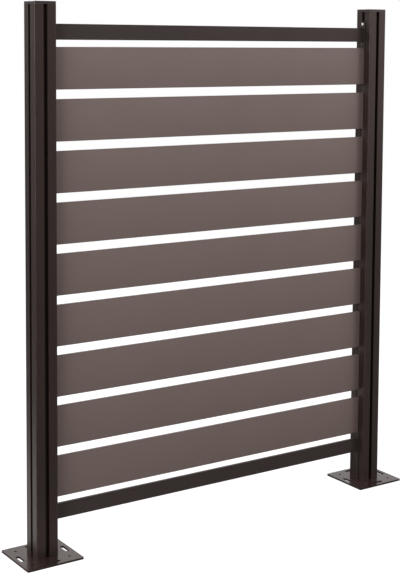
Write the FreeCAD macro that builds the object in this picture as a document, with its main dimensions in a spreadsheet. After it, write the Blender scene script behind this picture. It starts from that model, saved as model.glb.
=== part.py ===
import FreeCAD, Part
import os
import Sketcher

# Free-standing garden privacy screen: two grooved posts on base plates, nine slats between two rails.
# Millimetres, +Z up. X runs along the panel, -Y is the front, and the origin is on the floor midway
# between the posts, in the middle plane of the slats.

SIZES = {
    # the panel, from the floor up
    "clear_width": 1295.0,         # between the inner faces of the two posts
    "ground_gap": 114.0,           # floor to the underside of the bottom rail
    "lower_gap": 23.5,             # bottom rail to the lowest slat
    "slat_gap": 30.5,              # from one slat to the next
    "upper_gap": 22.5,             # uppermost slat to the top rail
    "slat_count": 9,
    # slats: hollow extrusions whose ends slide in the inner grooves
    "slat_height": 136.0,
    "slat_thickness": 12.0,
    "slat_wall": 1.3,
    "slat_corner": 1.0,
    "slat_chambers": 4,
    "slat_insert": 13.0,           # how far each end reaches into the groove
    # rails: hollow extrusions plugged on the stubs of the brackets
    "rail_height": 51.0,
    "rail_thickness": 12.0,
    "rail_wall": 1.6,
    "rail_corner": 0.8,
    # posts: one extrusion with a T-shaped groove in each face and four screw channels
    "post_width": 76.0,
    "post_corner": 3.0,
    "post_above_rail": 61.0,       # top rail to the sawn end of the post
    "post_wall": 2.2,
    "groove_mouth": 14.0,
    "groove_width": 19.0,
    "groove_lip": 2.2,
    "groove_depth": 16.0,
    "groove_wall": 1.8,
    "channel_inset": 6.6,          # post face to the middle of a screw channel
    "channel_block": 12.9,         # side of the solid corner round a screw channel
    "channel_bore": 5.5,
    # caps
    "cap_height": 9.0,
    "cap_edge": 1.2,
    "cap_plug_depth": 15.0,
    "cap_plug_wall": 2.0,
    # base plates
    "plate_size": 200.0,
    "plate_thickness": 6.5,
    "plate_corner": 4.0,
    "slot_length": 48.0,
    "slot_width": 14.0,
    "slot_offset": 80.0,           # plate centre to the middle line of a slot
    "anchor_hole": 9.0,
    "anchor_offset": 65.0,         # plate centre to an anchor hole, along each side
    # brackets at the top rail and supports at the bottom rail
    "strip_width": 30.0,
    "strip_thickness": 3.0,
    "strip_above_rail": 24.0,
    "tongue_thickness": 3.0,
    "stub_length": 25.0,
    # spacers between the ends of the slats
    "spacer_neck": 10.0,
    "spacer_depth": 6.0,
    # screws
    "base_screw": 5.2,
    "base_screw_head": 12.0,
    "base_screw_length": 30.0,
    "base_screw_recess": 0.2,
    "bracket_screw": 5.0,
    "bracket_screw_head": 11.0,
    "bracket_screw_head_height": 3.2,
    "bracket_screw_rise": 13.0,    # above the top rail, and as far below it as the gap allows
    # clearances
    "slide_fit": 0.3,
    "screw_fit": 0.1,
}


class Size:
    """A length as an expression on the sheet, together with its present value."""

    def __init__(self, text, value):
        self.text = text
        self.value = value

    def joined(self, sign, other, value):
        return Size("(" + self.text + " " + sign + " " + other.text + ")", value)

    def __add__(self, other):
        other = as_size(other)
        return self.joined("+", other, self.value + other.value)

    def __sub__(self, other):
        other = as_size(other)
        return self.joined("-", other, self.value - other.value)

    def __mul__(self, other):
        other = as_size(other)
        return self.joined("*", other, self.value * other.value)

    def __truediv__(self, other):
        other = as_size(other)
        return self.joined("/", other, self.value / other.value)

    def __neg__(self):
        return self * -1


def as_size(number):
    if isinstance(number, Size):
        return number
    return Size(str(number), float(number))


ZERO = as_size(0)

document = FreeCAD.newDocument("GardenPrivacyScreen")
sheet = document.addObject("Spreadsheet::Sheet", "Sizes")


class Sheet:
    """The driving sizes, each under its own name."""


size = Sheet()
for row, (word, number) in enumerate(SIZES.items(), start=1):
    sheet.set("A" + str(row), word)
    sheet.set("B" + str(row), str(number))
    sheet.setAlias("B" + str(row), word)
    setattr(size, word, Size("Sizes." + word, float(number)))
document.recompute()

SIDES = {"left": -1, "right": 1}
slat_total = int(SIZES["slat_count"])

# heights that several pieces share, all above the floor
lowest_slat = size.ground_gap + size.rail_height + size.lower_gap
slat_pitch = size.slat_height + size.slat_gap
slats_top = lowest_slat + slat_pitch * (slat_total - 1) + size.slat_height
top_rail_bottom = slats_top + size.upper_gap
top_rail_top = top_rail_bottom + size.rail_height
post_top = top_rail_top + size.post_above_rail

# places across the post, measured from its axis
post_half = size.post_width / 2
groove_floor = post_half - size.groove_depth
core_half = groove_floor - size.groove_wall
channel_place = post_half - size.channel_inset

# places in a groove, measured from the face of the post inwards
tongue_start = size.groove_lip + size.slide_fit
neck_half = size.groove_mouth / 2 - size.slide_fit
tongue_half = size.groove_width / 2 - size.slide_fit

clear_half = size.clear_width / 2
strip_height_top = top_rail_top + size.strip_above_rail
screw_heights = [top_rail_top + size.bracket_screw_rise, slats_top + size.upper_gap / 2]

made = []


def new_body(label):
    body = document.addObject("PartDesign::Body", label)
    body.Label = label
    return body


def place(part, x=ZERO, y=ZERO, z=ZERO):
    for axis, length in (("x", x), ("y", y), ("z", z)):
        part.setExpression(".Placement.Base." + axis, length.text)


def origin_feature(body, role):
    for feature in body.Origin.OriginFeatures:
        if feature.Role == role:
            return feature
    raise ValueError(role)


def new_sketch(body, name, plane, lift=ZERO):
    """A sketch on one of the body's own planes, lifted along that plane's normal."""
    sketch = body.newObject("Sketcher::SketchObject", name)
    sketch.AttachmentSupport = (origin_feature(body, plane), [""])
    sketch.MapMode = "FlatFace"
    sketch.setExpression(".AttachmentOffset.Base.z", lift.text)
    return sketch


def fix_point(sketch, element, end, x, y):
    """Hold one end, or the centre, of an element at x and y of the sketch."""
    for kind, length in (("DistanceX", x), ("DistanceY", y)):
        constraint = Sketcher.Constraint(kind, -1, 1, element, end, length.value)
        number = sketch.addConstraint(constraint)
        sketch.setExpression("Constraints[" + str(number) + "]", length.text)


def draw_polygon(sketch, points):
    first = sketch.GeometryCount
    corners = [FreeCAD.Vector(x.value, y.value, 0) for x, y in points]
    for start, end in zip(corners, corners[1:] + corners[:1]):
        sketch.addGeometry(Part.LineSegment(start, end), False)
    for number, (x, y) in enumerate(points):
        following = first + (number + 1) % len(points)
        sketch.addConstraint(Sketcher.Constraint("Coincident", first + number, 2, following, 1))
        fix_point(sketch, first + number, 1, x, y)


def draw_rectangle(sketch, x_low, y_low, x_high, y_high):
    draw_polygon(sketch, [(x_low, y_low), (x_high, y_low), (x_high, y_high), (x_low, y_high)])


def draw_square(sketch, half):
    draw_rectangle(sketch, -half, -half, half, half)


def fix_radius(sketch, element, radius):
    number = sketch.addConstraint(Sketcher.Constraint("Radius", element, radius.value))
    sketch.setExpression("Constraints[" + str(number) + "]", radius.text)


def draw_circle(sketch, x, y, diameter):
    radius = diameter / 2
    centre = FreeCAD.Vector(x.value, y.value, 0)
    element = sketch.addGeometry(Part.Circle(centre, FreeCAD.Vector(0, 0, 1), radius.value), False)
    fix_point(sketch, element, 3, x, y)
    fix_radius(sketch, element, radius)


def draw_slot(sketch, y, length, width):
    """A slot along the sketch's first axis, centred on it at y, with round ends."""
    radius = width / 2
    reach = length / 2 - radius
    ends = []
    for side in (1, -1):
        centre = FreeCAD.Vector(side * reach.value, y.value, 0)
        along = FreeCAD.Vector(side * radius.value, 0, 0)
        across = FreeCAD.Vector(0, side * radius.value, 0)
        arc = Part.Arc(centre - across, centre + along, centre + across)
        ends.append(sketch.addGeometry(arc, False))
    right, left = ends
    for side, start, end in ((1, right, left), (-1, left, right)):
        height = y.value + side * radius.value
        line = Part.LineSegment(
            FreeCAD.Vector(side * reach.value, height, 0), FreeCAD.Vector(-side * reach.value, height, 0)
        )
        edge = sketch.addGeometry(line, False)
        sketch.addConstraint(Sketcher.Constraint("Tangent", start, 2, edge, 1))
        sketch.addConstraint(Sketcher.Constraint("Tangent", edge, 2, end, 1))
    for side, element in ((1, right), (-1, left)):
        fix_point(sketch, element, 3, reach * side, y)
        fix_radius(sketch, element, radius)


def extrude(body, kind, name, sketch, length, reverse=False, both_ways=False):
    """Pad or pocket a sketch by a length, and see that it adds or takes material."""
    before = body.Shape.Volume if body.Tip else 0
    feature = body.newObject("PartDesign::" + kind, name)
    feature.Profile = sketch
    feature.Reversed = reverse
    if both_ways:
        feature.SideType = "Symmetric"
    feature.setExpression("Length", length.text)
    document.recompute()
    change = feature.Shape.Volume - before
    if (change > 0) != (kind == "Pad") or change == 0:
        raise RuntimeError(body.Label + " " + name + " changes nothing")
    return feature


def dress_edges(body, kind, name, chosen, length):
    """Round (Fillet) or bevel (Chamfer) the edges of the body for which chosen(edge) is true."""
    base = body.Tip
    names = []
    for number, edge in enumerate(base.Shape.Edges, start=1):
        if chosen(edge):
            names.append("Edge" + str(number))
    dressed = body.newObject("PartDesign::" + kind, name)
    dressed.Base = (base, names)
    dressed.setExpression("Radius" if kind == "Fillet" else "Size", length.text)
    document.recompute()
    return dressed


def repeat_round(body, name, features, copies):
    """Repeat features evenly round the body's upright axis."""
    pattern = body.newObject("PartDesign::PolarPattern", name)
    pattern.Originals = features
    pattern.Axis = (origin_feature(body, "Z_Axis"), [""])
    pattern.Angle = 360
    pattern.Occurrences = copies
    body.Tip = pattern
    document.recompute()
    return pattern


def runs_along(edge, axis):
    """True for a straight edge along an axis, given as 0, 1 or 2."""
    if edge.Curve.TypeId != "Part::GeomLine":
        return False
    return abs(abs(edge.Curve.Direction[axis]) - 1) < 1e-6


def is_upright(edge):
    return runs_along(edge, 2)


# ---------------------------------------------------------------- posts

def make_post(label, side):
    """Square extrusion with four T-grooves, a middle chamber, corner chambers and screw channels."""
    body = new_body(label)
    length = post_top - size.plate_thickness
    outline = new_sketch(body, label + "_outline", "XY_Plane")
    draw_square(outline, post_half)
    extrude(body, "Pad", label + "_bar", outline, length)
    dress_edges(body, "Fillet", label + "_corners", is_upright, size.post_corner)

    groove = new_sketch(body, label + "_groove_outline", "XY_Plane")
    outside = -(post_half + size.groove_lip)
    lip = -(post_half - size.groove_lip)
    mouth = size.groove_mouth / 2
    inner = size.groove_width / 2
    draw_polygon(groove, [
        (-mouth, outside), (-mouth, lip), (-inner, lip), (-inner, -groove_floor),
        (inner, -groove_floor), (inner, lip), (mouth, lip), (mouth, outside),
    ])
    groove_cut = extrude(body, "Pocket", label + "_groove", groove, length, reverse=True)
    repeat_round(body, label + "_grooves", [groove_cut], 4)

    core = new_sketch(body, label + "_core_outline", "XY_Plane")
    draw_square(core, core_half)
    extrude(body, "Pocket", label + "_core", core, length, reverse=True)

    chamber = new_sketch(body, label + "_chamber_outline", "XY_Plane")
    near = size.groove_width / 2 + size.groove_wall
    wall = post_half - size.post_wall
    block = post_half - size.channel_block
    draw_polygon(chamber, [
        (near, groove_floor), (groove_floor, groove_floor), (groove_floor, near),
        (wall, near), (wall, block), (block, block), (block, wall), (near, wall),
    ])
    chamber_cut = extrude(body, "Pocket", label + "_chamber", chamber, length, reverse=True)
    repeat_round(body, label + "_chambers", [chamber_cut], 4)

    bore = new_sketch(body, label + "_bore_outline", "XY_Plane")
    draw_circle(bore, channel_place, channel_place, size.channel_bore)
    bore_cut = extrude(body, "Pocket", label + "_bore", bore, length, reverse=True)
    repeat_round(body, label + "_channels", [bore_cut], 4)

    place(body, x=(clear_half + post_half) * side, z=size.plate_thickness)
    made.append(body)


# ---------------------------------------------------------------- post caps

def make_cap(label, side):
    """Flat bevelled cap, flush with the post, with a square hollow plug for the middle chamber."""
    body = new_body(label)
    outline = new_sketch(body, label + "_outline", "XY_Plane")
    draw_square(outline, post_half)
    extrude(body, "Pad", label + "_plate", outline, size.cap_height)
    dress_edges(body, "Fillet", label + "_corners", is_upright, size.post_corner)
    top = size.cap_height.value

    def on_top(edge):
        return edge.BoundBox.ZMin > top - 1e-3

    dress_edges(body, "Chamfer", label + "_rim", on_top, size.cap_edge)
    plug = new_sketch(body, label + "_plug_outline", "XY_Plane")
    draw_square(plug, core_half - size.slide_fit)
    draw_square(plug, core_half - size.slide_fit - size.cap_plug_wall)
    extrude(body, "Pad", label + "_plug", plug, size.cap_plug_depth, reverse=True)
    place(body, x=(clear_half + post_half) * side, z=post_top)
    made.append(body)


# ---------------------------------------------------------------- base plates

def make_base_plate(label, side):
    """Flat plate with a slot along each side, four anchor holes and four countersunk post holes."""
    body = new_body(label)
    outline = new_sketch(body, label + "_outline", "XY_Plane")
    draw_square(outline, size.plate_size / 2)
    extrude(body, "Pad", label + "_plate", outline, size.plate_thickness)
    dress_edges(body, "Fillet", label + "_corners", is_upright, size.plate_corner)

    slot = new_sketch(body, label + "_slot_outline", "XY_Plane")
    draw_slot(slot, -size.slot_offset, size.slot_length, size.slot_width)
    slot_cut = extrude(body, "Pocket", label + "_slot", slot, size.plate_thickness, reverse=True)
    anchor = new_sketch(body, label + "_anchor_outline", "XY_Plane")
    draw_circle(anchor, size.anchor_offset, size.anchor_offset, size.anchor_hole)
    anchor_cut = extrude(body, "Pocket", label + "_anchor", anchor, size.plate_thickness, reverse=True)
    repeat_round(body, label + "_slots_and_anchors", [slot_cut, anchor_cut], 4)

    centre = new_sketch(body, label + "_screw_outline", "XY_Plane")
    draw_circle(centre, channel_place, channel_place, size.base_screw)
    before = body.Shape.Volume
    hole = body.newObject("PartDesign::Hole", label + "_screw_hole")
    hole.Profile = centre
    document.recompute()
    hole.Reversed = True
    hole.DepthType = "ThroughAll"
    hole.HoleCutType = "Countersink"
    hole.HoleCutCustomValues = True
    hole.HoleCutCountersinkAngle = 90
    sunk = size.base_screw_head + (size.base_screw_recess + size.screw_fit) * 2
    hole.setExpression("Diameter", (size.base_screw + size.slide_fit * 2).text)
    hole.setExpression("HoleCutDiameter", sunk.text)
    document.recompute()
    if hole.Shape.Volume >= before:
        raise RuntimeError(label + " screw hole cuts nothing")
    repeat_round(body, label + "_screw_holes", [hole], 4)
    place(body, x=(clear_half + post_half) * side)
    made.append(body)


# ---------------------------------------------------------------- slats and rails

def make_bar(label, length, height, thickness, wall, corner, chambers, bottom):
    """Hollow extrusion along X, upright, divided by level webs into chambers one above the other."""
    body = new_body(label)
    section = new_sketch(body, label + "_section", "YZ_Plane")
    draw_rectangle(section, -thickness / 2, ZERO, thickness / 2, height)
    inside = thickness / 2 - wall
    opening = (height - wall * (chambers + 1)) / chambers
    for number in range(chambers):
        low = wall + (opening + wall) * number
        draw_rectangle(section, -inside, low, inside, low + opening)
    extrude(body, "Pad", label + "_bar", section, length, both_ways=True)
    outer = thickness.value / 2 - 1e-3

    def on_outer_corner(edge):
        return runs_along(edge, 0) and abs(edge.Vertexes[0].Y) > outer

    dress_edges(body, "Chamfer", label + "_corners", on_outer_corner, corner)
    place(body, z=bottom)
    made.append(body)


def make_slat(number):
    """Slat 1 is the uppermost."""
    length = size.clear_width + size.slat_insert * 2
    bottom = lowest_slat + slat_pitch * (slat_total - number)
    make_bar(
        "slat_" + str(number), length, size.slat_height, size.slat_thickness, size.slat_wall,
        size.slat_corner, int(SIZES["slat_chambers"]), bottom,
    )


def make_rail(label, bottom):
    length = size.clear_width - size.strip_thickness * 2
    make_bar(
        label, length, size.rail_height, size.rail_thickness, size.rail_wall, size.rail_corner, 1, bottom
    )


# ---------------------------------------------------------------- brackets and supports of the rails

def make_rail_holder(label, side, bottom, top, rail_bottom, holes):
    """Strip on the inner face of the post, with a T-tongue in the groove and a stub in the rail."""
    body = new_body(label)
    section = new_sketch(body, label + "_section", "XY_Plane")
    front = -size.strip_thickness * side
    start = tongue_start * side
    end = (tongue_start + size.tongue_thickness) * side
    half = size.strip_width / 2
    draw_polygon(section, [
        (front, -half), (ZERO, -half), (ZERO, -neck_half), (start, -neck_half),
        (start, -tongue_half), (end, -tongue_half), (end, tongue_half), (start, tongue_half),
        (start, neck_half), (ZERO, neck_half), (ZERO, half), (front, half),
    ])
    extrude(body, "Pad", label + "_strip", section, top - bottom)

    inset = size.rail_wall + size.slide_fit
    stub = new_sketch(body, label + "_stub_outline", "XY_Plane", rail_bottom - bottom + inset)
    half = size.rail_thickness / 2 - inset
    tip = -(size.strip_thickness + size.stub_length) * side
    draw_rectangle(stub, tip, -half, front, half)
    extrude(body, "Pad", label + "_stub", stub, size.rail_height - inset * 2)

    if holes:
        through = new_sketch(body, label + "_hole_outline", "YZ_Plane")
        for height in holes:
            draw_circle(through, ZERO, height - bottom, size.bracket_screw + size.screw_fit * 2)
        extrude(body, "Pocket", label + "_holes", through, size.post_width, both_ways=True)
    place(body, x=clear_half * side, z=bottom)
    made.append(body)


# ---------------------------------------------------------------- spacers between the slats

def make_spacer(label, side, bottom):
    """T-shaped block in the groove. Its neck lies at the front of the mouth and leaves a slit behind."""
    body = new_body(label)
    section = new_sketch(body, label + "_section", "XY_Plane")
    start = tongue_start * side
    end = (tongue_start + size.spacer_depth) * side
    neck_back = size.spacer_neck - neck_half
    draw_polygon(section, [
        (ZERO, -neck_half), (start, -neck_half), (start, -tongue_half), (end, -tongue_half),
        (end, tongue_half), (start, tongue_half), (start, neck_back), (ZERO, neck_back),
    ])
    extrude(body, "Pad", label + "_block", section, size.slat_gap)
    place(body, x=clear_half * side, z=bottom)
    made.append(body)


# ---------------------------------------------------------------- screws

def make_turned(name, outline):
    """A body turned about Z from (radius, height) points, which start and end on the axis."""
    body = new_body(name)
    section = new_sketch(body, name + "_outline", "XZ_Plane")
    draw_polygon(section, outline)
    turned = body.newObject("PartDesign::Revolution", name + "_turned")
    turned.Profile = section
    turned.ReferenceAxis = (origin_feature(body, "Z_Axis"), [""])
    turned.Angle = 360
    document.recompute()
    return body


def group(label, parts):
    compound = document.addObject("Part::Compound", label)
    compound.Label = label
    compound.Links = parts
    made.append(compound)


def make_base_screws(label):
    """Countersunk screws, four to a post, up through the plate into the screw channels."""
    screws = []
    radius = size.base_screw / 2
    head = size.base_screw_head / 2
    outline = [
        (ZERO, ZERO), (head, ZERO), (radius, head - radius),
        (radius, size.base_screw_length), (ZERO, size.base_screw_length),
    ]
    for side in SIDES.values():
        for x_side, y_side in ((1, 1), (-1, 1), (-1, -1), (1, -1)):
            screw = make_turned(label + "_" + str(len(screws) + 1), outline)
            x = (clear_half + post_half) * side + channel_place * x_side
            place(screw, x=x, y=channel_place * y_side, z=size.base_screw_recess)
            screws.append(screw)
    group(label, screws)


def make_bracket_screws(label):
    """Screws above and below the top rail, threaded in the bracket, that press on the groove's floor."""
    screws = []
    radius = size.bracket_screw / 2
    head = size.bracket_screw_head / 2
    rise = size.bracket_screw_head_height
    tip = size.strip_thickness + size.groove_depth
    outline = [
        (ZERO, -rise), (head, -rise), (head, ZERO), (radius, ZERO), (radius, tip), (ZERO, tip),
    ]
    for side in SIDES.values():
        for height in screw_heights:
            screw = make_turned(label + "_" + str(len(screws) + 1), outline)
            screw.Placement = FreeCAD.Placement(
                FreeCAD.Vector(), FreeCAD.Rotation(FreeCAD.Vector(0, 1, 0), 90 * side)
            )
            place(screw, x=(clear_half - size.strip_thickness) * side, z=height)
            screws.append(screw)
    group(label, screws)


# ---------------------------------------------------------------- assembly

make_rail("top_rail", top_rail_bottom)
make_rail("bottom_rail", size.ground_gap)
for number in range(1, slat_total + 1):
    make_slat(number)

for word, side in SIDES.items():
    make_post(word + "_post", side)
    make_cap(word + "_post_cap", side)
    make_base_plate(word + "_base_plate", side)
    make_rail_holder(
        word + "_top_bracket", side, slats_top, strip_height_top, top_rail_bottom, screw_heights
    )
    make_rail_holder(
        word + "_rail_support", side, size.plate_thickness, lowest_slat, size.ground_gap, []
    )
    for number in range(1, slat_total):
        bottom = lowest_slat + slat_pitch * (slat_total - 1 - number) + size.slat_height
        make_spacer(word + "_spacer_" + str(number), side, bottom)

make_base_screws("base_screws")
make_bracket_screws("bracket_screws")

document.recompute()
for item in document.Objects:
    if "Invalid" in item.State or "Error" in item.State:
        raise RuntimeError(item.Label + " failed")
for part in made:
    if part.Shape.isNull() or not part.Shape.isValid():
        raise RuntimeError(part.Label + " has no valid shape")

os.makedirs("parts", exist_ok=True)
for part in made:
    part.Shape.exportStep("parts/" + part.Label + ".step")
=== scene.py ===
import math

import bmesh
import bpy
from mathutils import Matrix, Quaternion, Vector


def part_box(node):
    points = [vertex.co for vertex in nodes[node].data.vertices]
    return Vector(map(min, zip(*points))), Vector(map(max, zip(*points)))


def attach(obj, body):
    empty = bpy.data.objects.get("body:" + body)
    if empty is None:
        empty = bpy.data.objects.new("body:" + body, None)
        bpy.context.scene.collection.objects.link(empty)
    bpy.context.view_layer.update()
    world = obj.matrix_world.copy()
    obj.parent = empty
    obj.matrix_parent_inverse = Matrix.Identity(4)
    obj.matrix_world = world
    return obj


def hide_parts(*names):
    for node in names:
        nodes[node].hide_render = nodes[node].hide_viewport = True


# A garden privacy screen: nine level slats between two grooved posts on base plates. Metres, +Z up,
# X along the screen, -Y to the front. The pieces follow in the order in which the screen is put
# together, and the stage and the camera come last.

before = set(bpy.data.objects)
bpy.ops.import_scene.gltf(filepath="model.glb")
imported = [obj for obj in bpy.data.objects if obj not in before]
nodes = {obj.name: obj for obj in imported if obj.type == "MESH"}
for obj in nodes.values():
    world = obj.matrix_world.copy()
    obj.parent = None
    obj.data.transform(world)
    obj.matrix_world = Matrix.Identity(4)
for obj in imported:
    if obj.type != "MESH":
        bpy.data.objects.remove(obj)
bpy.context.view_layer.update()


# ---------------------------------------------------------------- base plates
# Two square steel plates with rounded corners, cut by laser: a slot along each side, a round anchor
# hole near each corner and four countersunk holes under the post. Dark brown powder coating, smoother
# and glossier on the flat sheet than on the extrusions; the cut walls are dull and carry a near-black
# painted shade.

def add_node(tree, kind, inputs=None, **settings):
    """Add a node to a tree and set its properties and, by name, the values of its inputs."""
    node = tree.nodes.new(kind)
    for name, value in settings.items():
        setattr(node, name, value)
    for name, value in (inputs or {}).items():
        node.inputs[name].default_value = value
    return node


def new_shader_group(name, inputs, outputs):
    """A group of shader nodes with named number or vector inputs and number outputs."""
    group = bpy.data.node_groups.new(name, "ShaderNodeTree")
    for word, value in inputs.items():
        kind = "NodeSocketFloat" if isinstance(value, float) else "NodeSocketVector"
        socket = group.interface.new_socket(word, in_out="INPUT", socket_type=kind)
        socket.default_value = value
    for word in outputs:
        group.interface.new_socket(word, in_out="OUTPUT", socket_type="NodeSocketFloat")
    return group, group.nodes.new("NodeGroupInput"), group.nodes.new("NodeGroupOutput")


def make_powder_group():
    """Powder coating: fine grain, the orange peel of the melted powder and slow clouds of tone."""
    group, given, result = new_shader_group(
        "powder coating",
        {"Grain Size": 0.0005, "Peel Size": 0.003, "Cloud Size": 0.2, "Grain Share": 0.5},
        ["Tone", "Gloss", "Height"],
    )
    place = add_node(group, "ShaderNodeTexCoord")
    found = {}
    for word, detail in (("Grain", 1.0), ("Peel", 1.0), ("Cloud", 3.0)):
        per_metre = add_node(group, "ShaderNodeMath", {0: 1.0}, operation="DIVIDE")
        noise = add_node(group, "ShaderNodeTexNoise", {"Detail": detail, "Roughness": 0.5})
        group.links.new(given.outputs[word + " Size"], per_metre.inputs[1])
        group.links.new(place.outputs["Object"], noise.inputs["Vector"])
        group.links.new(per_metre.outputs[0], noise.inputs["Scale"])
        found[word] = noise.outputs["Fac"]
    height = add_node(group, "ShaderNodeMix")
    group.links.new(given.outputs["Grain Share"], height.inputs["Factor"])
    group.links.new(found["Peel"], height.inputs["A"])
    group.links.new(found["Grain"], height.inputs["B"])
    group.links.new(height.outputs["Result"], result.inputs["Height"])
    group.links.new(found["Cloud"], result.inputs["Tone"])
    group.links.new(found["Peel"], result.inputs["Gloss"])
    return group


def make_die_line_group():
    """Faint lines along an extrusion, left by the die and just visible through the coating."""
    group, given, result = new_shader_group(
        "die lines", {"Waves Per Metre": (2.0, 300.0, 300.0)}, ["Lines"]
    )
    place = add_node(group, "ShaderNodeTexCoord")
    stretched = add_node(group, "ShaderNodeVectorMath", operation="MULTIPLY")
    noise = add_node(group, "ShaderNodeTexNoise", {"Scale": 1.0, "Detail": 2.0, "Roughness": 0.6})
    group.links.new(place.outputs["Object"], stretched.inputs[0])
    group.links.new(given.outputs["Waves Per Metre"], stretched.inputs[1])
    group.links.new(stretched.outputs[0], noise.inputs["Vector"])
    group.links.new(noise.outputs["Fac"], result.inputs["Lines"])
    return group


def make_edge_group():
    """Bands along the lower and upper edges of level bars that repeat upwards.

    A pitch that is longer than the bar leaves a single one."""
    group, given, result = new_shader_group(
        "level edges", {"Lowest": 0.0, "Pitch": 10.0, "Bar Height": 0.1, "Band": 0.002}, ["Edge"]
    )
    place = add_node(group, "ShaderNodeTexCoord")
    split = add_node(group, "ShaderNodeSeparateXYZ")
    above = add_node(group, "ShaderNodeMath", operation="SUBTRACT")
    local = add_node(group, "ShaderNodeMath", operation="MODULO")
    middle = add_node(group, "ShaderNodeMath", {1: 0.5}, operation="MULTIPLY")
    from_middle = add_node(group, "ShaderNodeMath", operation="SUBTRACT")
    distance = add_node(group, "ShaderNodeMath", operation="ABSOLUTE")
    to_edge = add_node(group, "ShaderNodeMath", operation="SUBTRACT")
    near = add_node(group, "ShaderNodeMath", operation="DIVIDE")
    mask = add_node(group, "ShaderNodeMath", {0: 1.0}, operation="SUBTRACT", use_clamp=True)
    link = group.links.new
    link(place.outputs["Object"], split.inputs[0])
    link(split.outputs["Z"], above.inputs[0])
    link(given.outputs["Lowest"], above.inputs[1])
    link(above.outputs[0], local.inputs[0])
    link(given.outputs["Pitch"], local.inputs[1])
    link(given.outputs["Bar Height"], middle.inputs[0])
    link(local.outputs[0], from_middle.inputs[0])
    link(middle.outputs[0], from_middle.inputs[1])
    link(from_middle.outputs[0], distance.inputs[0])
    link(middle.outputs[0], to_edge.inputs[0])
    link(distance.outputs[0], to_edge.inputs[1])
    link(to_edge.outputs[0], near.inputs[0])
    link(given.outputs["Band"], near.inputs[1])
    link(near.outputs[0], mask.inputs[1])
    link(mask.outputs[0], result.inputs["Edge"])
    return group


def make_cut_wall_group():
    """A mask of the upright walls of a level plate: its rim and the walls of its slots and holes."""
    group, given, result = new_shader_group("cut walls", {"Normal Z Limit": 0.5}, ["Wall"])
    surface = add_node(group, "ShaderNodeNewGeometry")
    facing = add_node(group, "ShaderNodeSeparateXYZ")
    slope = add_node(group, "ShaderNodeMath", operation="ABSOLUTE")
    upright = add_node(group, "ShaderNodeMath", operation="LESS_THAN")
    group.links.new(surface.outputs["Normal"], facing.inputs[0])
    group.links.new(facing.outputs["Z"], slope.inputs[0])
    group.links.new(slope.outputs[0], upright.inputs[0])
    group.links.new(given.outputs["Normal Z Limit"], upright.inputs[1])
    group.links.new(upright.outputs[0], result.inputs["Wall"])
    return group


POWDER = make_powder_group()
DIE_LINES = make_die_line_group()
LEVEL_EDGES = make_edge_group()
CUT_WALLS = make_cut_wall_group()


def place_group(tree, group, values):
    """Add a group to a material with some of its values set. The others keep the group's own."""
    placed = add_node(tree, "ShaderNodeGroup", node_tree=group)
    for name, value in values.items():
        placed.inputs[name].default_value = value
    return placed


def scale_to(tree, source, low, high):
    """Carry a noise to low..high. Nearly all of a noise lies between usual_low and usual_high."""
    usual_low, usual_high = 0.3, 0.7
    ranged = add_node(
        tree, "ShaderNodeMapRange",
        {"From Min": usual_low, "From Max": usual_high, "To Min": low, "To Max": high},
    )
    tree.links.new(source, ranged.inputs["Value"])
    return ranged.outputs["Result"]


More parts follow.
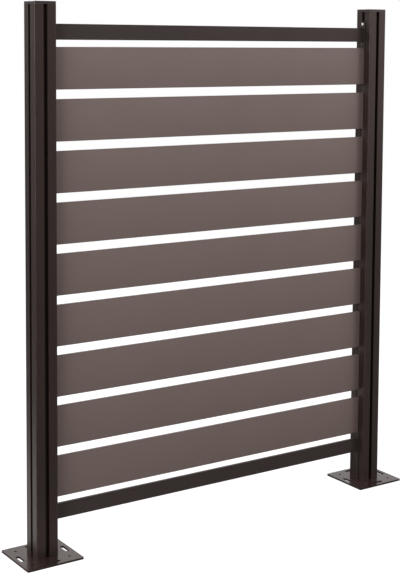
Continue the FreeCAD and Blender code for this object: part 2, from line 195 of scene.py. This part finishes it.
def coating(name, dark, light, roughness, specular, grain, lines=None, edge=None, cut=None,
            tint=(1.0, 0.84, 0.82)):
    """A powder coating from dark to light by its clouds of tone, with bump from grain and peel.

    roughness is (lowest, highest). grain is (grain size, peel size, share of grain, bump depth).
    lines gives the die lines' waves per metre. edge is (values of the level edges, edge colour).
    cut is the painted shade of the upright cut walls, and tint colours what the coating reflects."""
    material = bpy.data.materials.new(name)
    material.use_nodes = True
    tree = material.node_tree
    shader = tree.nodes["Principled BSDF"]
    shader.inputs["Specular IOR Level"].default_value = specular
    shader.inputs["Specular Tint"].default_value = (*tint, 1.0)
    link = tree.links.new
    grain_size, peel_size, share, depth = grain
    powder = place_group(
        tree, POWDER, {"Grain Size": grain_size, "Peel Size": peel_size, "Grain Share": share}
    )
    colour = add_node(tree, "ShaderNodeMix", data_type="RGBA")
    colour.inputs["A"].default_value = (*dark, 1.0)
    colour.inputs["B"].default_value = (*light, 1.0)
    link(scale_to(tree, powder.outputs["Tone"], 0.0, 1.0), colour.inputs["Factor"])
    shown = colour.outputs["Result"]
    height = powder.outputs["Height"]
    gloss = powder.outputs["Gloss"]
    if lines:
        share_of_bump, share_of_gloss = 0.35, 0.5
        drawn = place_group(tree, DIE_LINES, {"Waves Per Metre": lines})
        both = add_node(tree, "ShaderNodeMath", {1: share_of_bump}, operation="MULTIPLY_ADD")
        link(drawn.outputs["Lines"], both.inputs[0])
        link(height, both.inputs[2])
        height = both.outputs[0]
        mixed = add_node(tree, "ShaderNodeMix", {"Factor": share_of_gloss})
        link(gloss, mixed.inputs["A"])
        link(drawn.outputs["Lines"], mixed.inputs["B"])
        gloss = mixed.outputs["Result"]
    # A band of another colour along the level edges: a painted shade in the post seams, a painted
    # highlight on the cap's lower edge, and a darker edge on rails and slats.
    if edge:
        values, edge_colour = edge
        band = place_group(tree, LEVEL_EDGES, values)
        edge_toned = add_node(tree, "ShaderNodeMix", data_type="RGBA")
        edge_toned.inputs["B"].default_value = (*edge_colour, 1.0)
        link(band.outputs["Edge"], edge_toned.inputs["Factor"])
        link(shown, edge_toned.inputs["A"])
        shown = edge_toned.outputs["Result"]
    rough = scale_to(tree, gloss, *roughness)
    # Painted shade: the upright cut walls get a near-black colour, and full roughness.
    if cut:
        wall = place_group(tree, CUT_WALLS, {}).outputs["Wall"]
        darker = add_node(tree, "ShaderNodeMix", data_type="RGBA")
        darker.inputs["B"].default_value = (*cut, 1.0)
        link(wall, darker.inputs["Factor"])
        link(shown, darker.inputs["A"])
        shown = darker.outputs["Result"]
        rougher = add_node(tree, "ShaderNodeMath", operation="MAXIMUM")
        link(rough, rougher.inputs[0])
        link(wall, rougher.inputs[1])
        rough = rougher.outputs[0]
    bump = add_node(tree, "ShaderNodeBump", {"Strength": 1.0, "Distance": depth})
    link(shown, shader.inputs["Base Color"])
    link(rough, shader.inputs["Roughness"])
    link(height, bump.inputs["Height"])
    link(bump.outputs["Normal"], shader.inputs["Normal"])
    return material


def finish_node(name, material):
    """Give a carried-over piece its finish."""
    for slot in nodes[name].material_slots:
        slot.material = material


for side in ("left", "right"):
    plate = side + "_base_plate"
    finish_node(plate, coating(
        plate + " coating", dark=(0.024, 0.0135, 0.0120), light=(0.029, 0.0165, 0.0150),
        roughness=(0.18, 0.28), specular=0.6, grain=(0.0005, 0.0028, 0.25, 0.00003),
        # The cut walls get a near-black painted shade.
        cut=(0.003, 0.002, 0.002), tint=(1.0, 0.76, 0.72),
    ))


# ---------------------------------------------------------------- posts
# Two square aluminium extrusions, 76 mm wide, with a T-shaped groove down the middle of each face.
# They are powder coated in one piece, with a satin, faintly textured finish, and stand on the plates.
# A painted shade darkens the coating in the seams under the cap and over the plate.

post_foot, post_top = (corner.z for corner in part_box("left_post"))
post_coating = coating(
    "post coating", dark=(0.0190, 0.0125, 0.0105), light=(0.0225, 0.0150, 0.0128),
    roughness=(0.36, 0.46), specular=0.4, grain=(0.0004, 0.0022, 0.5, 0.00003),
    lines=(260.0, 260.0, 1.5),
    # The band at the foot and the top of the post is a painted shade in the seams.
    edge=({"Lowest": post_foot, "Bar Height": post_top - post_foot, "Band": 0.0025},
          (0.010, 0.008, 0.008)),
    tint=(1.0, 0.75, 0.73),
)
for side in ("left", "right"):
    finish_node(side + "_post", post_coating)


# ---------------------------------------------------------------- base screws
# Four countersunk stainless screws hold each post: they go up through the plate into the round
# channels of the extrusion. Turned and rolled, with a six-lobed recess, seen only from below.

def ring(shape, radius, height, steps):
    """One turn of points round Z. shape gives the radius' share for an angle."""
    angles = [2 * math.pi * step / steps for step in range(steps)]
    return [
        Vector((math.cos(angle), math.sin(angle), 0)) * radius * shape(angle) + Vector((0, 0, height))
        for angle in angles
    ]


def round_shape(angle):
    return 1.0


def six_lobes(angle):
    lobe_height = 0.11
    return 1.0 + lobe_height * math.cos(6 * angle)


def lathe(name, rings, steps):
    """A closed solid from rings, each (shape, radius, height), listed from tip to recess."""
    work = bmesh.new()
    turns = [[work.verts.new(point) for point in ring(*one, steps)] for one in rings]
    for lower, upper in zip(turns, turns[1:]):
        for step in range(steps):
            after = (step + 1) % steps
            work.faces.new((lower[step], lower[after], upper[after], upper[step]))
    work.faces.new(turns[0][::-1])
    work.faces.new(turns[-1])
    bmesh.ops.recalc_face_normals(work, faces=work.faces)
    mesh = bpy.data.meshes.new(name)
    work.to_mesh(mesh)
    work.free()
    return mesh


def stainless(name):
    """Turned stainless steel: fine rings round each screw's own axis, kept in the attribute turning.

    Where the screw's attribute is 1, for the heads in the rail's shadow, a painted shade replaces the
    steel: dark brown and not metallic."""
    # The third colour is the painted shade of the heads under the rail.
    dark_steel, light_steel, rail_shade_colour = (0.68, 0.66, 0.64), (0.82, 0.81, 0.79), (0.030, 0.022, 0.020)
    ring_waves = 22000.0
    lowest_roughness, highest_roughness = 0.24, 0.42
    material = bpy.data.materials.new(name)
    material.use_nodes = True
    tree = material.node_tree
    shader = tree.nodes["Principled BSDF"]
    radius = add_node(tree, "ShaderNodeAttribute", attribute_name="turning")
    painted_shade = add_node(tree, "ShaderNodeAttribute", attribute_name="painted_shade")
    unshaded = add_node(tree, "ShaderNodeMath", {0: 1.0}, operation="SUBTRACT")
    rings = add_node(tree, "ShaderNodeMath", {1: ring_waves}, operation="MULTIPLY")
    wave = add_node(tree, "ShaderNodeMath", operation="SINE")
    place = add_node(tree, "ShaderNodeTexCoord")
    smudge = add_node(tree, "ShaderNodeTexNoise", {"Scale": 260.0, "Detail": 3.0})
    colour = add_node(tree, "ShaderNodeMix", data_type="RGBA")
    colour.inputs["A"].default_value = (*dark_steel, 1.0)
    colour.inputs["B"].default_value = (*light_steel, 1.0)
    finished = add_node(tree, "ShaderNodeMix", data_type="RGBA")
    finished.inputs["B"].default_value = (*rail_shade_colour, 1.0)
    bump = add_node(tree, "ShaderNodeBump", {"Strength": 0.5, "Distance": 0.00001})
    link = tree.links.new
    link(painted_shade.outputs["Fac"], unshaded.inputs[1])
    link(unshaded.outputs[0], shader.inputs["Metallic"])
    link(painted_shade.outputs["Fac"], finished.inputs["Factor"])
    link(colour.outputs["Result"], finished.inputs["A"])
    link(finished.outputs["Result"], shader.inputs["Base Color"])
    link(radius.outputs["Fac"], rings.inputs[0])
    link(rings.outputs[0], wave.inputs[0])
    link(place.outputs["Object"], smudge.inputs["Vector"])
    link(smudge.outputs["Fac"], colour.inputs["Factor"])
    roughness = scale_to(tree, smudge.outputs["Fac"], lowest_roughness, highest_roughness)
    link(roughness, shader.inputs["Roughness"])
    link(wave.outputs[0], bump.inputs["Height"])
    link(bump.outputs["Normal"], shader.inputs["Normal"])
    return material


screw_steel = stainless("stainless screw")


def new_geometry_tree(name, inputs):
    """A tree of geometry nodes with named inputs: whole numbers, numbers and materials."""
    tree = bpy.data.node_groups.new(name, "GeometryNodeTree")
    tree.interface.new_socket("Geometry", in_out="INPUT", socket_type="NodeSocketGeometry")
    tree.interface.new_socket("Geometry", in_out="OUTPUT", socket_type="NodeSocketGeometry")
    kinds = {int: "NodeSocketInt", float: "NodeSocketFloat", bpy.types.Material: "NodeSocketMaterial"}
    for word, value in inputs.items():
        tree.interface.new_socket(word, in_out="INPUT", socket_type=kinds[type(value)])
    return tree, tree.nodes.new("NodeGroupInput"), tree.nodes.new("NodeGroupOutput")


def grow(name, seed_mesh, tree, inputs):
    """Run a geometry tree on a seed mesh and keep the result as a plain mesh in a new object."""
    piece = bpy.data.objects.new(name, seed_mesh)
    bpy.context.scene.collection.objects.link(piece)
    modifier = piece.modifiers.new(tree.name, "NODES")
    modifier.node_group = tree
    for socket in tree.interface.items_tree:
        if socket.in_out == "INPUT" and socket.name in inputs:
            modifier[socket.identifier] = inputs[socket.name]
    bpy.context.view_layer.update()
    evaluated = piece.evaluated_get(bpy.context.evaluated_depsgraph_get())
    grown = bpy.data.meshes.new_from_object(evaluated)
    piece.modifiers.clear()
    piece.data = grown
    grown.name = name
    return piece


def vector_of(tree, x=0.0, y=0.0, z=0.0):
    """A vector of three parts, each a number or a socket."""
    made = add_node(tree, "ShaderNodeCombineXYZ")
    for word, part in (("X", x), ("Y", y), ("Z", z)):
        if isinstance(part, float):
            made.inputs[word].default_value = part
        else:
            tree.links.new(part, made.inputs[word])
    return made.outputs[0]


def keep_turning(tree, screw):
    """Store the distance from the screw's own axis as the attribute turning."""
    position = add_node(tree, "GeometryNodeInputPosition")
    flat = add_node(tree, "ShaderNodeVectorMath", {1: (1.0, 1.0, 0.0)}, operation="MULTIPLY")
    length = add_node(tree, "ShaderNodeVectorMath", operation="LENGTH")
    stored = add_node(tree, "GeometryNodeStoreNamedAttribute", {"Name": "turning"})
    tree.links.new(position.outputs[0], flat.inputs[0])
    tree.links.new(flat.outputs[0], length.inputs[0])
    tree.links.new(screw, stored.inputs["Geometry"])
    tree.links.new(length.outputs["Value"], stored.inputs["Value"])
    return stored.outputs["Geometry"]


def close_tree(tree, given, result, geometry):
    """End a tree in Realize Instances and Set Material."""
    real = add_node(tree, "GeometryNodeRealizeInstances")
    finished = add_node(tree, "GeometryNodeSetMaterial")
    tree.links.new(geometry, real.inputs[0])
    tree.links.new(real.outputs[0], finished.inputs["Geometry"])
    tree.links.new(given.outputs["Material"], finished.inputs["Material"])
    tree.links.new(finished.outputs[0], result.inputs[0])


def make_base_screw_tree(inputs):
    """A screw at the four channels of each post: a grid of corners on a line of two posts."""
    tree, given, result = new_geometry_tree("base screws", inputs)
    posts = add_node(tree, "GeometryNodeMeshGrid", {"Vertices X": 2, "Vertices Y": 1, "Size Y": 0.0})
    corners = add_node(tree, "GeometryNodeMeshGrid", {"Vertices X": 2, "Vertices Y": 2})
    at_corners = add_node(tree, "GeometryNodeInstanceOnPoints")
    at_posts = add_node(tree, "GeometryNodeInstanceOnPoints")
    lifted = add_node(tree, "GeometryNodeTransform")
    link = tree.links.new
    link(given.outputs["Post Spacing"], posts.inputs["Size X"])
    link(given.outputs["Channel Spacing"], corners.inputs["Size X"])
    link(given.outputs["Channel Spacing"], corners.inputs["Size Y"])
    link(corners.outputs["Mesh"], at_corners.inputs["Points"])
    link(keep_turning(tree, given.outputs["Geometry"]), at_corners.inputs["Instance"])
    link(posts.outputs["Mesh"], at_posts.inputs["Points"])
    link(at_corners.outputs[0], at_posts.inputs["Instance"])
    link(at_posts.outputs[0], lifted.inputs["Geometry"])
    link(vector_of(tree, z=given.outputs["Lift"]), lifted.inputs["Translation"])
    close_tree(tree, given, result, lifted.outputs[0])
    return tree


screw_low, screw_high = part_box("base_screws")
post_low, post_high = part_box("right_post")
post_middle = (post_low.x + post_high.x) / 2
steps_per_turn = 24
tip_share = 0.8
recess_draft = 0.0001
recess_point = 0.0004
sunk_radius = 0.006
sunk_edge = 0.0003
sunk_flat_share = 0.62
sunk_shank = 0.0026
sunk_tip = 0.001
sunk_recess = 0.0026
sunk_recess_depth = 0.0022
sunk_recess_floor = 0.0012
base_screw_length = screw_high.z - screw_low.z
base_screw_mesh = lathe("base_screw", [
    (round_shape, sunk_shank * tip_share, base_screw_length),
    (round_shape, sunk_shank, base_screw_length - sunk_tip),
    (round_shape, sunk_shank, sunk_radius - sunk_shank),
    (round_shape, sunk_radius - sunk_edge, sunk_edge),
    (round_shape, sunk_radius, 0.0),
    (round_shape, sunk_radius * sunk_flat_share, 0.0),
    (six_lobes, sunk_recess, 0.0),
    (six_lobes, sunk_recess - recess_draft, sunk_recess_depth),
    (round_shape, sunk_recess_floor, sunk_recess_depth + recess_point),
], steps_per_turn)
base_screw_inputs = {
    "Post Spacing": 2 * post_middle,
    "Channel Spacing": 2 * (screw_high.x - sunk_radius - post_middle),
    "Lift": screw_low.z,
    "Material": screw_steel,
}
base_screw_tree = make_base_screw_tree(base_screw_inputs)
base_screws = grow(
    "countersunk_base_screws", base_screw_mesh, base_screw_tree, base_screw_inputs
)
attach(base_screws, "root")
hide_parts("base_screws")


# ---------------------------------------------------------------- rail supports and bottom rail
# A T-shaped aluminium strip slides in the inner groove of each post, stands on the plate and carries
# the end of the bottom rail. The rail is a narrow hollow extrusion with a matte dark brown coating.

bracket_coating = coating(
    "bracket coating", dark=(0.018, 0.0125, 0.0110), light=(0.022, 0.0150, 0.0130),
    roughness=(0.40, 0.52), specular=0.35, grain=(0.0004, 0.002, 0.5, 0.00003),
    lines=(260.0, 260.0, 1.5),
)


def rail_coating(node):
    """The coating of a rail, with its thin edges a little darker."""
    low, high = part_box(node)
    return coating(
        node + " coating", dark=(0.033, 0.0245, 0.0230), light=(0.038, 0.0280, 0.0260),
        roughness=(0.50, 0.62), specular=0.25, grain=(0.0004, 0.002, 0.6, 0.00002),
        lines=(1.5, 260.0, 260.0),
        edge=({"Lowest": low.z, "Bar Height": high.z - low.z, "Band": 0.004}, (0.022, 0.016, 0.015)),
    )


for side in ("left", "right"):
    finish_node(side + "_rail_support", bracket_coating)
finish_node("bottom_rail", rail_coating("bottom_rail"))


# ---------------------------------------------------------------- slats
# Nine wide hollow aluminium extrusions, 12 mm thick with round edges, whose ends slide down the inner
# grooves of the posts. A fine matte grey-brown coating, a little darker along the round edges.

def make_slat_tree(inputs):
    """A bar along X with rounded edges, repeated upwards."""
    steps_per_corner = 5
    tree, given, result = new_geometry_tree("slats", inputs)
    link = tree.links.new
    half = add_node(tree, "ShaderNodeMath", {1: 0.5}, operation="MULTIPLY")
    other_half = add_node(tree, "ShaderNodeMath", {1: -0.5}, operation="MULTIPLY")
    path = add_node(tree, "GeometryNodeCurvePrimitiveLine")
    outline = add_node(tree, "GeometryNodeCurvePrimitiveQuadrilateral")
    rounded = add_node(tree, "GeometryNodeFilletCurve", {"Count": steps_per_corner}, mode="POLY")
    bar = add_node(tree, "GeometryNodeCurveToMesh", {"Fill Caps": True})
    middle = add_node(tree, "ShaderNodeMath", {1: 0.5}, operation="MULTIPLY_ADD")
    places = add_node(tree, "GeometryNodeMeshLine")
    bars = add_node(tree, "GeometryNodeInstanceOnPoints")
    link(given.outputs["Length"], half.inputs[0])
    link(given.outputs["Length"], other_half.inputs[0])
    link(vector_of(tree, x=other_half.outputs[0]), path.inputs["Start"])
    link(vector_of(tree, x=half.outputs[0]), path.inputs["End"])
    link(given.outputs["Thickness"], outline.inputs["Width"])
    link(given.outputs["Bar Height"], outline.inputs["Height"])
    link(outline.outputs[0], rounded.inputs["Curve"])
    link(given.outputs["Corner"], rounded.inputs["Radius"])
    link(path.outputs[0], bar.inputs["Curve"])
    link(rounded.outputs[0], bar.inputs["Profile Curve"])
    link(given.outputs["Bar Height"], middle.inputs[0])
    link(given.outputs["Lowest"], middle.inputs[2])
    link(given.outputs["Count"], places.inputs["Count"])
    link(vector_of(tree, z=middle.outputs[0]), places.inputs["Start Location"])
    link(vector_of(tree, z=given.outputs["Pitch"]), places.inputs["Offset"])
    link(places.outputs[0], bars.inputs["Points"])
    link(bar.outputs[0], bars.inputs["Instance"])
    close_tree(tree, given, result, bars.outputs[0])
    return tree


slat_names = sorted(name for name in nodes if name.startswith("slat_"))
lowest_low, lowest_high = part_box(slat_names[-1])
slat_height = lowest_high.z - lowest_low.z
slat_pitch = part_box(slat_names[-2])[0].z - lowest_low.z
slat_coating = coating(
    "slat coating", dark=(0.168, 0.126, 0.115), light=(0.176, 0.132, 0.121),
    roughness=(0.52, 0.62), specular=0.3, grain=(0.00035, 0.002, 0.7, 0.00002),
    lines=(1.2, 220.0, 220.0),
    edge=({"Lowest": lowest_low.z, "Pitch": slat_pitch, "Bar Height": slat_height, "Band": 0.003},
          (0.105, 0.079, 0.072)),
)
slat_inputs = {
    "Length": lowest_high.x - lowest_low.x,
    "Thickness": lowest_high.y - lowest_low.y,
    "Bar Height": slat_height,
    "Corner": 0.0015,
    "Count": len(slat_names),
    "Lowest": lowest_low.z,
    "Pitch": slat_pitch,
    "Material": slat_coating,
}
slats = grow("slats", bpy.data.meshes.new("slat_seed"), make_slat_tree(slat_inputs), slat_inputs)
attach(slats, "root")
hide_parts(*slat_names)


# ---------------------------------------------------------------- spacers
# Moulded plastic blocks in the inner groove, one in each gap, which keep the slats apart. Dark brown
# through and through, with the fine spark texture of the mould.

spacer_plastic = coating(
    "spacer plastic", dark=(0.020, 0.0140, 0.0125), light=(0.025, 0.0175, 0.0155),
    roughness=(0.50, 0.65), specular=0.4, grain=(0.0006, 0.002, 0.8, 0.00004),
)
for name in nodes:
    if "_spacer_" in name:
        finish_node(name, spacer_plastic)


# ---------------------------------------------------------------- top brackets and top rail
# A T-shaped strip in the head of each inner groove with a stub in the end of the top rail, which lies
# above the slats. Strips and rail are coated as the lower ones are.

for side in ("left", "right"):
    finish_node(side + "_top_bracket", bracket_coating)
finish_node("top_rail", rail_coating("top_rail"))


# ---------------------------------------------------------------- bracket screws
# Two pan-head screws hold each top bracket: a bright stainless one above the rail and one below it
# in a dark brown painted shade for the rail's shadow. Domed head, six-lobed recess, threaded in the
# strip.

def make_bracket_screw_tree(inputs):
    """Screws at the four corners of an upright grid, each with its head towards the middle."""
    tree, given, result = new_geometry_tree("bracket screws", inputs)
    link = tree.links.new
    grid = add_node(tree, "GeometryNodeMeshGrid", {"Vertices X": 2, "Vertices Y": 2})
    upright = add_node(tree, "GeometryNodeTransform", {"Rotation": (math.radians(90), 0.0, 0.0)})
    position = add_node(tree, "GeometryNodeInputPosition")
    inwards = add_node(tree, "ShaderNodeVectorMath", {1: (-1.0, 0.0, 0.0)}, operation="MULTIPLY")
    facing = add_node(tree, "FunctionNodeAlignRotationToVector", axis="Z")
    screws = add_node(tree, "GeometryNodeInstanceOnPoints")
    link(given.outputs["Face Spacing"], grid.inputs["Size X"])
    link(given.outputs["Screw Spacing"], grid.inputs["Size Y"])
    link(grid.outputs["Mesh"], upright.inputs["Geometry"])
    link(vector_of(tree, z=given.outputs["Height"]), upright.inputs["Translation"])
    link(upright.outputs[0], screws.inputs["Points"])
    link(position.outputs[0], inwards.inputs[0])
    link(inwards.outputs[0], facing.inputs["Vector"])
    link(facing.outputs[0], screws.inputs["Rotation"])
    link(keep_turning(tree, given.outputs["Geometry"]), screws.inputs["Instance"])
    # Heads below the rail get the attribute for the painted shade of the rail's shadow.
    level = add_node(tree, "ShaderNodeSeparateXYZ")
    below = add_node(tree, "ShaderNodeMath", operation="LESS_THAN")
    painted_shade = add_node(
        tree, "GeometryNodeStoreNamedAttribute", {"Name": "painted_shade"}, domain="INSTANCE"
    )
    link(position.outputs[0], level.inputs[0])
    link(level.outputs["Z"], below.inputs[0])
    link(given.outputs["Height"], below.inputs[1])
    link(screws.outputs[0], painted_shade.inputs["Geometry"])
    link(below.outputs[0], painted_shade.inputs["Value"])
    close_tree(tree, given, result, painted_shade.outputs["Geometry"])
    return tree


pan_low, pan_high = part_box("bracket_screws")
stub_length = 0.025
strip_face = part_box("right_rail_support")[0].x + stub_length
pan_radius = 0.0055
pan_rise = 0.0032
pan_shank = 0.0025
pan_tip = 0.0008
pan_recess = 0.0023
pan_recess_depth = 0.0019
pan_recess_floor = 0.0010
pan_length = pan_high.x - strip_face
dome = ((1.0, 0.0), (1.0, 0.0008), (0.97, 0.0016), (0.88, 0.0024), (0.72, 0.0029), (0.56, pan_rise))
pan_screw_mesh = lathe("pan_screw", [
    (round_shape, pan_shank * tip_share, -pan_length),
    (round_shape, pan_shank, -pan_length + pan_tip),
    (round_shape, pan_shank, 0.0),
    *[(round_shape, pan_radius * share, height) for share, height in dome],
    (six_lobes, pan_recess, pan_rise),
    (six_lobes, pan_recess - recess_draft, pan_rise - pan_recess_depth),
    (round_shape, pan_recess_floor, pan_rise - pan_recess_depth - recess_point),
], steps_per_turn)
pan_inputs = {
    "Face Spacing": 2 * strip_face,
    "Screw Spacing": pan_high.z - pan_low.z - 2 * pan_radius,
    "Height": (pan_high.z + pan_low.z) / 2,
    "Material": screw_steel,
}
bracket_screws = grow(
    "pan_head_bracket_screws", pan_screw_mesh, make_bracket_screw_tree(pan_inputs), pan_inputs
)
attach(bracket_screws, "root")
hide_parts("bracket_screws")


# ---------------------------------------------------------------- post caps
# Flat caps, flush with the posts, pressed into the middle chamber by a hollow plug. Coated like the
# posts, with a painted highlight along the lower edge above the painted shade of the seam.

cap_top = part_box("left_post_cap")[1].z
cap_coating = coating(
    "cap coating", dark=(0.022, 0.0150, 0.0130), light=(0.026, 0.0180, 0.0155),
    roughness=(0.34, 0.44), specular=0.4, grain=(0.0004, 0.0022, 0.5, 0.00003),
    # The band along the cap's lower edge is a painted highlight.
    edge=({"Lowest": post_top, "Bar Height": cap_top - post_top, "Band": 0.002},
          (0.075, 0.062, 0.058)),
)
for side in ("left", "right"):
    finish_node(side + "_post_cap", cap_coating)


# ---------------------------------------------------------------- stage
# A white floor that keeps the soft shadow at the foot of the posts, white surroundings and four
# softboxes. What shows in the coatings is darker than what the camera sees: both have a second tone
# for mirrors.

def sees(tree, rays, otherwise, seen):
    """One value for the named rays and another for all others. Each value is a number or a socket."""
    path = add_node(tree, "ShaderNodeLightPath")
    share = path.outputs[rays[0]]
    for word in rays[1:]:
        larger = add_node(tree, "ShaderNodeMath", operation="MAXIMUM")
        tree.links.new(share, larger.inputs[0])
        tree.links.new(path.outputs[word], larger.inputs[1])
        share = larger.outputs[0]
    chosen = add_node(tree, "ShaderNodeMix")
    tree.links.new(share, chosen.inputs["Factor"])
    for word, value in (("A", otherwise), ("B", seen)):
        if isinstance(value, float):
            chosen.inputs[word].default_value = value
        else:
            tree.links.new(value, chosen.inputs[word])
    return chosen.outputs["Result"]


MIRRORS = ("Is Glossy Ray", "Is Transmission Ray")


def make_floor(reach, drop, own_tone, glow, lit_middle, lit_reach):
    """A floor that is white to the camera, and to mirrors near lit_middle: lit_reach = (full, none).

    It lies a little below the plates, so that no two faces share a plane. From below the camera looks
    through it."""
    mesh = bpy.data.meshes.new("floor")
    corners = [(-reach, -reach, 0), (reach, -reach, 0), (reach, reach, 0), (-reach, reach, 0)]
    mesh.from_pydata(corners, [], [(0, 1, 2, 3)])
    floor = bpy.data.objects.new("floor", mesh)
    bpy.context.scene.collection.objects.link(floor)
    floor.location.z = -drop
    material = bpy.data.materials.new("white floor")
    material.use_nodes = True
    tree = material.node_tree
    shader = tree.nodes["Principled BSDF"]
    shader.inputs["Base Color"].default_value = (own_tone, own_tone, own_tone, 1.0)
    shader.inputs["Roughness"].default_value = 0.9
    shader.inputs["Specular IOR Level"].default_value = 0.0
    shader.inputs["Emission Color"].default_value = (1.0, 1.0, 1.0, 1.0)
    place = add_node(tree, "ShaderNodeTexCoord")
    away = add_node(tree, "ShaderNodeVectorMath", {1: lit_middle}, operation="DISTANCE")
    lit = add_node(
        tree, "ShaderNodeMapRange",
        {"From Min": lit_reach[0], "From Max": lit_reach[1], "To Min": glow, "To Max": 0.0},
        interpolation_type="SMOOTHSTEP",
    )
    tree.links.new(place.outputs["Object"], away.inputs[0])
    tree.links.new(away.outputs["Value"], lit.inputs["Value"])
    mirrored = sees(tree, MIRRORS, 0.0, lit.outputs["Result"])
    tree.links.new(sees(tree, ["Is Camera Ray"], mirrored, glow), shader.inputs["Emission Strength"])
    surface = add_node(tree, "ShaderNodeNewGeometry")
    front = add_node(tree, "ShaderNodeMath", {0: 1.0}, operation="SUBTRACT")
    tree.links.new(surface.outputs["Backfacing"], front.inputs[1])
    tree.links.new(sees(tree, ["Is Camera Ray"], 1.0, front.outputs[0]), shader.inputs["Alpha"])
    mesh.materials.append(material)


def make_surroundings(brightness, horizon, lit_window):
    """White to the camera. To mirrors they rise from a tone to white: horizon = (tone, from Z, to Z).

    lit_window = (direction, cosines of its edge and its middle, strength) shows in mirrors alone."""
    world = bpy.data.worlds.new("surroundings")
    bpy.context.scene.world = world
    world.use_nodes = True
    tree = world.node_tree
    background = tree.nodes["Background"]
    background.inputs["Color"].default_value = (1.0, 1.0, 1.0, 1.0)
    direction = add_node(tree, "ShaderNodeTexCoord")
    split = add_node(tree, "ShaderNodeSeparateXYZ")
    rise = add_node(
        tree, "ShaderNodeMapRange",
        {"From Min": horizon[1], "From Max": horizon[2], "To Min": horizon[0], "To Max": 1.0},
        interpolation_type="SMOOTHSTEP",
    )
    towards, cosines, strength = lit_window
    nearness = add_node(
        tree, "ShaderNodeVectorMath", {1: Vector(towards).normalized()}, operation="DOT_PRODUCT"
    )
    window = add_node(
        tree, "ShaderNodeMapRange",
        {"From Min": cosines[0], "From Max": cosines[1], "To Min": 0.0, "To Max": strength},
        interpolation_type="SMOOTHSTEP",
    )
    both = add_node(tree, "ShaderNodeMath", operation="ADD")
    tree.links.new(direction.outputs["Generated"], split.inputs[0])
    tree.links.new(split.outputs["Z"], rise.inputs["Value"])
    tree.links.new(direction.outputs["Generated"], nearness.inputs[0])
    tree.links.new(nearness.outputs["Value"], window.inputs["Value"])
    tree.links.new(rise.outputs["Result"], both.inputs[0])
    tree.links.new(window.outputs["Result"], both.inputs[1])
    mirrored = sees(tree, MIRRORS, brightness, both.outputs[0])
    tree.links.new(sees(tree, ["Is Camera Ray"], mirrored, 1.0), background.inputs["Strength"])


def add_softbox(name, place, aim, width, power):
    """A square area light in metres and watts."""
    lamp = bpy.data.lights.new(name, "AREA")
    lamp.shape = "SQUARE"
    lamp.size = width
    lamp.energy = power
    softbox = bpy.data.objects.new(name, lamp)
    bpy.context.scene.collection.objects.link(softbox)
    softbox.location = place
    softbox.rotation_euler = (Vector(aim) - Vector(place)).to_track_quat("-Z", "Y").to_euler()


make_floor(
    reach=9.0, drop=0.0004, own_tone=0.3, glow=0.86, lit_middle=(-0.6, 0.6, 0.0), lit_reach=(0.4, 1.2)
)
make_surroundings(
    brightness=0.45, horizon=(0.3, -0.06, 0.24),
    lit_window=((-0.89, -0.44, 0.15), (0.975, 0.996), 24.0),
)
add_softbox("left softbox", (-3.5, -1.5, 3.0), (0.0, 0.0, 1.2), 2.0, 100.0)
add_softbox("high softbox", (2.6, -2.4, 4.0), (0.2, 0.0, 0.9), 1.2, 60.0)
add_softbox("back softbox", (-1.0, 3.6, 4.4), (0.0, 0.0, 1.0), 1.6, 85.0)
add_softbox("right softbox", (3.7, -2.2, 2.4), (0.0, 0.0, 1.1), 3.0, 38.0)

scene = bpy.context.scene
scene.view_settings.view_transform = "Standard"


# ---------------------------------------------------------------- camera
# The place, the aim and the focal length come from a fit of the screen's edges to the photograph,
# 400 by 574 pixels. The lens' middle lies above the middle of the picture, so the frame is shifted.

PICTURE = (400, 574)
LENS_MIDDLE = (227.5, 149.4)
FOCAL_PIXELS = 1293.6
SENSOR = 36.0

camera_data = bpy.data.cameras.new("camera")
camera_data.sensor_width = SENSOR
camera_data.lens = FOCAL_PIXELS / PICTURE[1] * SENSOR
camera_data.shift_x = (PICTURE[0] / 2 - LENS_MIDDLE[0]) / PICTURE[1]
camera_data.shift_y = (LENS_MIDDLE[1] - PICTURE[1] / 2) / PICTURE[1]
camera = bpy.data.objects.new("camera", camera_data)
scene.collection.objects.link(camera)
camera.location = (-2.5211, -3.7103, 1.6833)
turn_right, look_down, lean = math.radians(34.573), math.radians(4.847), math.radians(0.440)
ahead = Vector((
    math.sin(turn_right) * math.cos(look_down),
    math.cos(turn_right) * math.cos(look_down),
    -math.sin(look_down),
))
camera.rotation_mode = "QUATERNION"
camera.rotation_quaternion = Quaternion(ahead, -lean) @ ahead.to_track_quat("-Z", "Y")
scene.camera = camera
